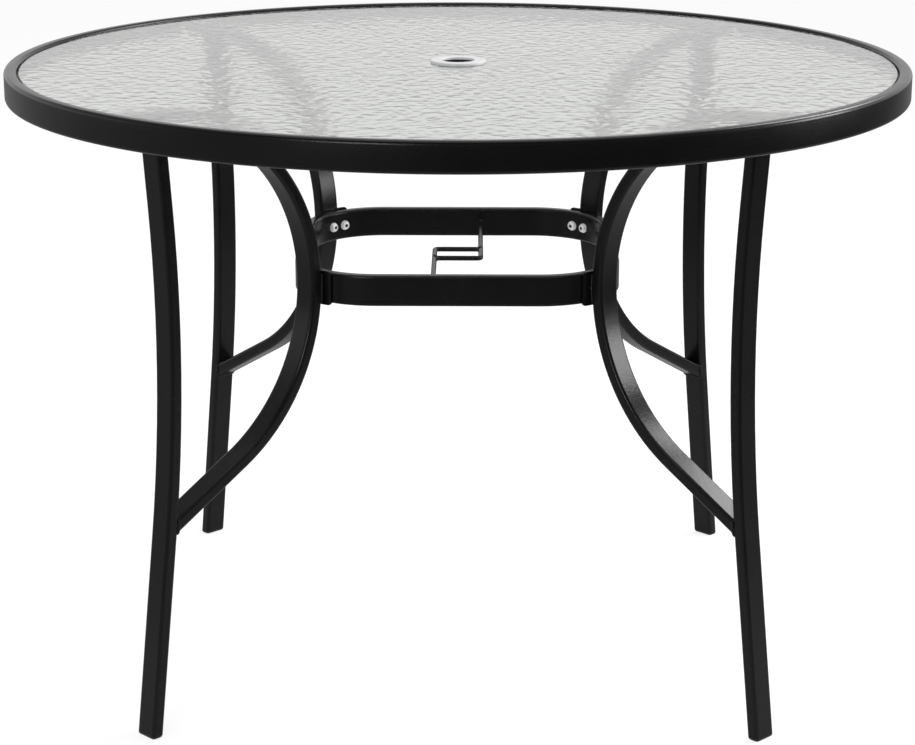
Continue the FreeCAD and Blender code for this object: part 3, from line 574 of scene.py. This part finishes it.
def makeFoot(corner, turn, values):
    lean = math.radians(tubeValues["legLean"])
    halfAcross, halfDeep = tubeValues["width"] / 2, tubeValues["depth"] / 2 / math.cos(lean)
    placed = Matrix.Rotation(math.radians(turn), 4, "Z")
    levels = []
    for n in range(values["roundSteps"] + 1):
        bend = math.pi / 2 * n / values["roundSteps"]
        levels.append((values["soleRound"] * (1 - math.cos(bend)),
                       values["soleRound"] * (1 - math.sin(bend))))
    levels += [(values["flange"], 0), (values["flange"], values["stemInset"]),
               (values["flange"] + values["stem"], values["stemInset"])]
    points, faces, count = [], [], 0
    for up, inset in levels:
        rounding = max(tubeValues["corner"] - inset * values["cornerShare"], values["leastCorner"])
        outline = roundedOutline(halfAcross - inset, halfDeep - inset, rounding, values["cornerSteps"])
        count = len(outline)
        middle = tubeValues["footRadius"] - up * math.tan(lean)
        points += [placed @ Vector((middle + b, a, up)) for a, b in outline]
    for k in range(len(levels) - 1):
        for n in range(count):
            following = (n + 1) % count
            here = k * count
            faces.append((here + following, here + n, here + count + n, here + count + following))
    faces.append(tuple(range(count)))
    faces.append(tuple(len(points) - 1 - n for n in range(count)))
    piece = addPiece("footGlide_" + corner, points, faces, blackPlastic, "frame",
                     values["sharpFrom"])
    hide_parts("foot_cap_" + corner)


for corner, turn in cornerTurns.items():
    makeFoot(corner, turn, footShape)
print("feet moulded")

# Button-head bolts, with painted shade in the key socket

boltShape = {
    "headRadius": 5.25 * mm,
    "headFace": 3.1 * mm,
    "headHeight": 3.3 * mm,
    "shank": 3 * mm,
    "seatBevel": 0.15 * mm,
    "keyAcross": 4 * mm,
    "keyDepth": 2 * mm,
    "keyBevel": 0.25 * mm,
    "keyCone": (1.25, 0.2 * mm),  # the drill's mark: its depth as a share of the key's, and its tip
    "domeShare": 0.75,  # height of the dome, of the head's
    "domeSteps": 7,
    "spokes": 48,
    "tipBevel": 0.6 * mm,
    "pitch": 1.0 * mm,
    "threadDepth": 0.3 * mm,
    "plainTurns": 1.5,  # turns of thread left out at the ends
    "sharpFrom": 30,
}
boltPlaces = {
    "spacing": 19.5 * mm,  # between the two bolts of one ring corner
    "ringCorner": 97.5 * mm,  # outer radius of the ring's corner
    "ringDepth": 13 * mm,
    "washerRadius": 6 * mm,
    "washerThickness": 1.6 * mm,
    "ringBoltEnd": 100 * mm,  # the bolt's tip from the middle of the corner's arc
    "socketInset": 21.5 * mm,  # socket bolt inwards from the rim
    "socketHalf": 18 * mm,  # outside of a socket's cheek from its middle
    "socketBoltEnd": 24.5 * mm,
}


def addBolt(points, faces, paintedShadeFaces, place, length, values):
    # Head and shank along the place's X axis, with the head's seat at its origin
    spokes, seat = values["spokes"], len(points)
    height, face, outer = values["headHeight"], values["headFace"], values["headRadius"]
    rings = []

    def ring(along, radius, hexed=False):
        circle = []
        for n in range(spokes):
            turn = 2 * math.pi * n / spokes
            reach = radius
            if hexed:
                reach /= math.cos((turn + math.pi / 6) % (math.pi / 3) - math.pi / 6)
            circle.append(Vector((along, reach * math.cos(turn), reach * math.sin(turn))))
        rings.append(circle)

    half, depth, bevel = values["keyAcross"] / 2, values["keyDepth"], values["keyBevel"]
    coneShare, coneTip = values["keyCone"]
    ring(-height + depth * coneShare, coneTip)
    ring(-height + depth, half, True)
    ring(-height + bevel, half, True)
    # The rings so far line the key socket, whose faces get the painted shade
    paintedShadeRings = len(rings) - 1
    ring(-height, half + bevel, True)
    ring(-height, face)
    for n in range(1, values["domeSteps"] + 1):
        turn = math.pi / 2 * n / values["domeSteps"]
        ring(-height + height * values["domeShare"] * (1 - math.cos(turn)),
             face + (outer - face) * math.sin(turn))
    ring(-values["seatBevel"], outer)
    ring(0, outer - values["seatBevel"])
    ring(0, values["shank"])
    turns = int((length - values["tipBevel"]) / values["pitch"] - values["plainTurns"])
    for n in range(turns):
        start = values["pitch"] * (n + 1)
        ring(start, values["shank"])
        ring(start + values["pitch"] / 2, values["shank"] - values["threadDepth"])
    ring(length - values["tipBevel"], values["shank"])
    ring(length, values["shank"] - values["tipBevel"])
    for circle in rings:
        points.extend(place @ spot for spot in circle)
    faces.append(tuple(seat + n for n in range(spokes)))
    paintedShadeFaces.add(len(faces) - 1)
    for k in range(len(rings) - 1):
        for n in range(spokes):
            following = (n + 1) % spokes
            if k < paintedShadeRings:
                paintedShadeFaces.add(len(faces))
            here = seat + k * spokes
            faces.append((here + n, here + spokes + n, here + spokes + following, here + following))
    last = seat + (len(rings) - 1) * spokes
    faces.append(tuple(last + n for n in reversed(range(spokes))))


def makeBolts(name, places, length, node):
    points, faces, paintedShadeFaces = [], [], set()
    for place in places:
        addBolt(points, faces, paintedShadeFaces, place, length, boltShape)
    piece = addPiece(name, points, faces, zincPlate, "frame", boltShape["sharpFrom"])
    # The key socket's faces take the near-black painted shade
    piece.data.materials.append(paintedSocketShade)
    for n in paintedShadeFaces:
        piece.data.polygons[n].material_index = 1
    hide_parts(node)


def placeBolts(values):
    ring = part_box("centre_ring")
    level = (ring[0].z + ring[1].z) / 2
    half = (ring[1].x - ring[0].x) / 2
    reach = (half - values["ringCorner"]) * math.sqrt(2)
    inner = values["ringCorner"] - values["ringDepth"]
    seat = math.sqrt(inner ** 2 - values["washerRadius"] ** 2) - values["washerThickness"]
    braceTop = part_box("brace_rear_right")[1].z
    ringPlaces, socketPlaces = [], []
    rimInner = min(axisDistances("table_rim"))
    for turn in cornerTurns.values():
        placed = Matrix.Rotation(math.radians(turn), 4, "Z")
        for side in (-1, 1):
            spread = Matrix.Rotation(side * math.asin(values["spacing"] / 2 / inner), 4, "Z")
            ringPlaces.append(placed @ Matrix.Translation((reach, 0, level)) @ spread
                              @ Matrix.Translation((seat, 0, 0)))
        spot = (rimInner - values["socketInset"], -values["socketHalf"],
                braceTop - tubeValues["depth"] / 2)
        quarter = Matrix.Rotation(math.radians(90), 4, "Z")
        socketPlaces.append(placed @ Matrix.Translation(spot) @ quarter)
    makeBolts("ringBoltsFinished", ringPlaces, values["ringBoltEnd"] - seat, "ring_bolts")
    makeBolts("socketBoltsFinished", socketPlaces, values["socketHalf"] + values["socketBoltEnd"],
              "socket_bolts")


# Weld beads

weldValues = {
    "radius": 1.5 * mm,
    "ripple": 2.2 * mm,
    "rippleDepth": 0.22,
    "uneven": 0.22,
    "unevenPerMetre": 180,
    "sides": 10,
    "step": 0.45 * mm,
    "endTaper": 2.5 * mm,
    "endShare": 0.35,  # what is left of the bead's radius at its very end
    "sharpFrom": 60,
}
cornerWelds = {
    "outlineSteps": 5,
    "footSize": 1.15,  # sizes are shares of the bead's usual radius
    "bracketSize": 1.1,
    "bracketSteps": 8,
    "bracketEnd": 3 * mm,
    "bracketOff": (0.6 * mm, 1.0 * mm),  # outward from the brace's face, and in from its side
    "socketSide": 3 * mm,  # cheek and gap, outward from the brace's side
    "socketEnds": (1 * mm, 2.5 * mm),
    "tabTurn": 45,  # middle of a tab from the leg, degrees
    "tabHalf": 11 * mm,
    "tabSteps": 6,
}
rodWelds = {
    "rodRadius": 3 * mm,
    "steps": 16,
    "wallOff": 0.4 * mm,
    "wallSize": 1.25,
    "rodSize": 1.0,
    "filletSize": 1.2,
    # Places along the fillet: outward from the crossing, and beyond the rod's side
    "fillet": ((0.2 * mm, 2.2 * mm), (1.0 * mm, 0.8 * mm), (3.2 * mm, -0.2 * mm)),
}


def resample(path, step, closed):
    # Evenly spaced points along straight runs, with each one's distance from the start
    corners = path + path[:1] if closed else path
    lengths = [(b - a).length for a, b in zip(corners, corners[1:])]
    total = sum(lengths)
    count = max(4, round(total / step))
    points, run, before = [], 0, 0.0
    for n in range(count if closed else count + 1):
        distance = total * n / count
        while run < len(lengths) - 1 and distance > before + lengths[run]:
            before += lengths[run]
            run += 1
        share = (distance - before) / lengths[run] if lengths[run] else 0
        points.append((corners[run].lerp(corners[run + 1], min(share, 1)), distance))
    return points, total


def addBead(points, faces, path, values, closed=False, size=1.0):
    # A rippled round bead along the path, joined to the lists of points and faces
    stations, total = resample(path, values["step"], closed)
    seat, sides, count = len(points), values["sides"], len(stations)
    side = None
    for n, (centre, distance) in enumerate(stations):
        ahead = stations[(n + 1) % count][0] if closed or n < count - 1 else centre
        behind = stations[n - 1][0] if closed or n else centre
        along = (ahead - behind).normalized()
        if side is None:
            side = along.orthogonal().normalized()
        side = (side - along * side.dot(along)).normalized()
        ripple = abs(math.sin(math.pi * distance / values["ripple"])) - 0.5
        radius = values["radius"] * size * (1 + values["rippleDepth"] * ripple
                                            + values["uneven"]
                                            * noise.noise(centre * values["unevenPerMetre"]))
        if not closed:
            edge = min(distance, total - distance) / values["endTaper"]
            radius *= min(1, values["endShare"] + (1 - values["endShare"]) * math.sqrt(min(1, edge)))
        for k in range(sides):
            out = Quaternion(along, 2 * math.pi * k / sides) @ side
            points.append(centre + out * radius)
    for n in range(count if closed else count - 1):
        here, there = seat + n * sides, seat + (n + 1) % count * sides
        for k in range(sides):
            following = (k + 1) % sides
            faces.append((here + k, here + following, there + following, there + k))
    if not closed:
        faces.append(tuple(seat + k for k in reversed(range(sides))))
        faces.append(tuple(seat + (count - 1) * sides + k for k in range(sides)))


def braceLine(values):
    # The brace's innermost point and its straight tail, in its corner's upright plane
    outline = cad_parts["brace_rear_right"].data.vertices
    diagonal = Vector((1, 1, 0)).normalized()
    apex = min(vertex.co.dot(diagonal) for vertex in outline) + values["depth"] / 2
    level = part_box("brace_rear_right")[1].z - values["depth"] / 2
    upper = values["legTopRadius"] - values["depth"] / 2 - apex
    apexLevel = level - upper
    foot = values["braceFootHeight"]
    lower = (apexLevel - foot) * values["lowerBendShare"]
    centre = Vector((apex + lower, apexLevel))
    end = Vector((values["footRadius"] - foot * math.tan(math.radians(values["legLean"])), foot))
    gap = end - centre
    heading = math.atan2(gap.y, gap.x) - math.acos(lower / gap.length)
    leave = centre + Vector((math.cos(heading), math.sin(heading))) * lower
    return apex, apexLevel, upper, lower, end, (end - leave).normalized()


def footWeld(end, tail, outline):
    # Brace's foot, all round, on the leg's inner face
    lean = math.radians(tubeValues["legLean"])
    inward = Vector((-math.cos(lean), -math.sin(lean)))
    across = Vector((-tail.y, tail.x))
    sole = Vector((tubeValues["footRadius"], 0))
    loop = []
    for a, b in outline:
        start = end + across * b
        reach = (tubeValues["depth"] / 2 - (start - sole).dot(inward)) / tail.dot(inward)
        spot = start + tail * reach
        loop.append((spot.x, a, spot.y))
    return loop


def makeCornerWelds(corner, turn, values):
    points, faces = [], []
    placed = Matrix.Rotation(math.radians(turn), 4, "Z")

    def bead(path, closed=False, size=1.0):
        addBead(points, faces, [placed @ Vector(p) for p in path], weldValues, closed, size)

    halfWide, halfDeep = tubeValues["width"] / 2, tubeValues["depth"] / 2
    apex, apexLevel, upper, lower, end, tail = braceLine(tubeValues)
    outline = roundedOutline(halfWide, halfDeep, tubeValues["corner"], values["outlineSteps"])
    bead(footWeld(end, tail, outline), closed=True, size=values["footSize"])
    # Leg's upper end, all round, under the brace
    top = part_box("leg_" + corner)[1].z
    slant = math.cos(math.radians(tubeValues["legTopLean"]))
    bead([(tubeValues["legTopRadius"] + b / slant, a, top) for a, b in outline], closed=True)
    # Bracket to both sides of the brace
    low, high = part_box("saddle_bracket_" + corner)
    bottom, run = low.z + values["bracketEnd"], high.z - low.z - values["bracketEnd"] * 2
    outward, inset = values["bracketOff"]
    for side in (-1, 1):
        path = []
        for n in range(values["bracketSteps"] + 1):
            up = bottom + run * n / values["bracketSteps"]
            bend = upper if up > apexLevel else lower
            gap = up - apexLevel
            face = apex - halfDeep + bend - math.sqrt(bend * bend - gap * gap)
            path.append((face + outward, side * (halfWide - inset), up))
        bead(path, size=values["bracketSize"])
    # Socket's cheeks to the rim
    low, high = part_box("rim_socket_" + corner)
    rimInner = min(axisDistances("table_rim"))
    socketHalf = halfWide + values["socketSide"]
    wallAt = math.sqrt(rimInner ** 2 - socketHalf ** 2)
    above, below = values["socketEnds"]
    for side in (-1, 1):
        bead([(wallAt, side * socketHalf, low.z + above),
              (wallAt, side * socketHalf, high.z - below)])
    # One steel tab a side, along the rim
    level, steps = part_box("glass_tabs")[0].z, values["tabSteps"]
    turns = [math.radians(values["tabTurn"]) + n * values["tabHalf"] / rimInner / steps
             for n in range(-steps, steps + 1)]
    bead([(rimInner * math.cos(around), rimInner * math.sin(around), level) for around in turns])
    addPiece("welds_" + corner, points, faces, powderCoat, "frame",
             weldValues["sharpFrom"])


def makeRodWelds(values):
    # Round each rod's two ends, with a fatter fillet in the corner where the rods cross
    points, faces = [], []
    rod = values["rodRadius"]
    low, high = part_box("pole_guide_rear")
    level = (low.z + high.z) / 2
    longRun, wall = high.x - rod, high.y
    crossing, crossRow = low.x, low.y + rod
    circle = [2 * math.pi * n / values["steps"] for n in range(values["steps"])]
    for turn in (0, 180):
        placed = Matrix.Rotation(math.radians(turn), 4, "Z")

        def bead(path, closed, size):
            addBead(points, faces, [placed @ Vector(p) for p in path], weldValues, closed, size)

        bead([(longRun + rod * math.cos(a), wall - values["wallOff"], level + rod * math.sin(a))
              for a in circle], True, values["wallSize"])
        bead([(crossing - rod + rod * abs(math.cos(a)), crossRow + rod * math.cos(a),
               level + rod * math.sin(a)) for a in circle], True, values["rodSize"])
        for side in (-1, 1):
            bead([(crossing + along, crossRow + side * (rod + beyond), level)
                  for along, beyond in values["fillet"]], False, values["filletSize"])
    addPiece("welds_pole_guide", points, faces, powderCoat, "frame",
             weldValues["sharpFrom"])


placeBolts(boltPlaces)
print("bolts made")
for corner, turn in cornerTurns.items():
    makeCornerWelds(corner, turn, cornerWelds)
makeRodWelds(rodWelds)
print("welds laid")
